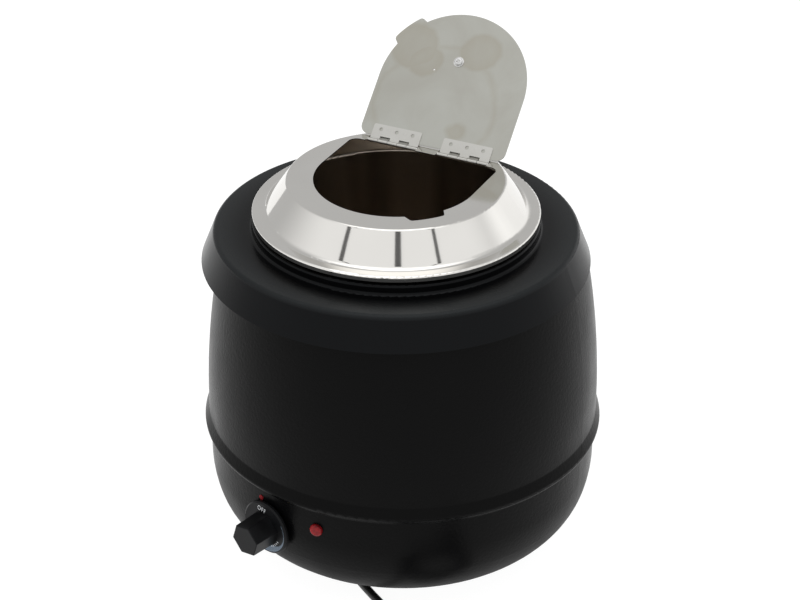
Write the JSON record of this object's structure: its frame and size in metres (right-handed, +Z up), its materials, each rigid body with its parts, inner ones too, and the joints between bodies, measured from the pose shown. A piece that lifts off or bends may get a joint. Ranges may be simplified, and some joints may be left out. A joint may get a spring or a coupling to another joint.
{
  "type": "electric food warmer kettle",
  "caption": "Black round wet-heat food warmer with a lift-out steel pot, loose steel ring lid, hinged serving flap, thermostat knob, pilot lamp and mains cord.",
  "frame": {"origin": "on the body's axis at floor level, under the feet", "axes": "+Z up; +Y to the back, where the flap's hinge lies parallel to X; the knob is at the front, left of centre"},
  "size_m": [0.3834, 0.5271, 0.4323],
  "materials": {
    "body_black": "satin black powder coat, slightly worn",
    "collar_black": "satin black powder coat",
    "pan_steel": "spun stainless, dull",
    "pot_steel": "brushed stainless, used",
    "lid_steel": "mirror polished stainless",
    "flap_steel": "brushed stainless, faint stains",
    "hinge_steel": "stainless, spot welded",
    "pin_steel": "bright stainless wire",
    "lid_knob_black": "satin phenolic",
    "knob_black": "satin moulded",
    "screw_steel": "bright zinc plated",
    "shaft_steel": "turned",
    "stat_body": "pressed and plated",
    "brass_parts": "turned",
    "copper_parts": "drawn copper",
    "lamp_red": "moulded red lens",
    "lamp_black": "moulded",
    "mark_red": "printed",
    "element_steel": "heat-browned sheath",
    "galvanised": "galvanised",
    "cutout_ceramic": "steatite",
    "foot_rubber": "moulded",
    "block_nylon": "natural nylon",
    "lead_sleeve": "silicone and glass sleeving",
    "gland_black": "moulded nylon",
    "cord_black": "smooth sheath",
    "plug_black": "moulded",
    "plug_pin": "nickel plated"
  },
  "bodies": {
    "kettle": {"outer_shell": "body_black", "collar": "collar_black", "water_pan": "pan_steel", "thermostat_body": "stat_body", "thermostat_bracket": "galvanised", "thermostat_nut": "brass_parts", "sensing_bulb": "copper_parts", "bulb_clip": "galvanised", "capillary_tube": "copper_parts", "lamp_lens": "lamp_red", "lamp_housing": "lamp_black", "lamp_clip": "galvanised", "pointer_mark": "mark_red", "heating_element": "element_steel", "element_clamp": "galvanised", "clamp_stud": "screw_steel", "clamp_nut": "screw_steel", "thermal_cutout": "cutout_ceramic", "base_plate": "galvanised", "feet": "foot_rubber", "foot_screws": "screw_steel", "base_screws": "screw_steel", "fixing_nuts": "screw_steel", "terminal_block": "block_nylon", "earth_stud": "brass_parts", "earth_nut": "brass_parts", "wiring_leads": "lead_sleeve", "cord_gland": "gland_black", "inner_lead": "cord_black", "supply_cord": "cord_black", "cord_coil": "cord_black", "cord_tail": "cord_black", "plug_body": "plug_black", "plug_pins": "plug_pin"},
    "knob": {"control_knob": "knob_black", "thermostat_shaft": "shaft_steel"},
    "pot": {"soup_pot": "pot_steel"},
    "lid": {"lid_ring": "lid_steel", "ring_hinge_leaves": "hinge_steel", "hinge_pins": "pin_steel"},
    "flap": {"lid_flap": "flap_steel", "flap_hinge_leaves": "hinge_steel", "lid_knob": "lid_knob_black", "lid_knob_washer": "screw_steel", "lid_knob_screw": "screw_steel"}
  },
  "joints": [
    {"name": "knob_turn", "type": "hinge", "parent": "kettle", "child": "knob", "pos_m": [-0.04478, -0.16711, 0.078], "axis": [0.2588, 0.9659, 0], "range_deg": [0, 300]},
    {"name": "pot_lift", "type": "slide", "parent": "kettle", "child": "pot", "axis": [0, 0, 1], "range_m": [0, 0.26]},
    {"name": "lid_lift", "type": "slide", "parent": "pot", "child": "lid", "axis": [0, 0, 1], "range_m": [0, 0.15]},
    {"name": "flap_hinge", "type": "hinge", "parent": "lid", "child": "flap", "pos_m": [-0.0056, 0.0567, 0.3412], "axis": [1, 0, 0], "range_deg": [0, 135]}
  ]
}
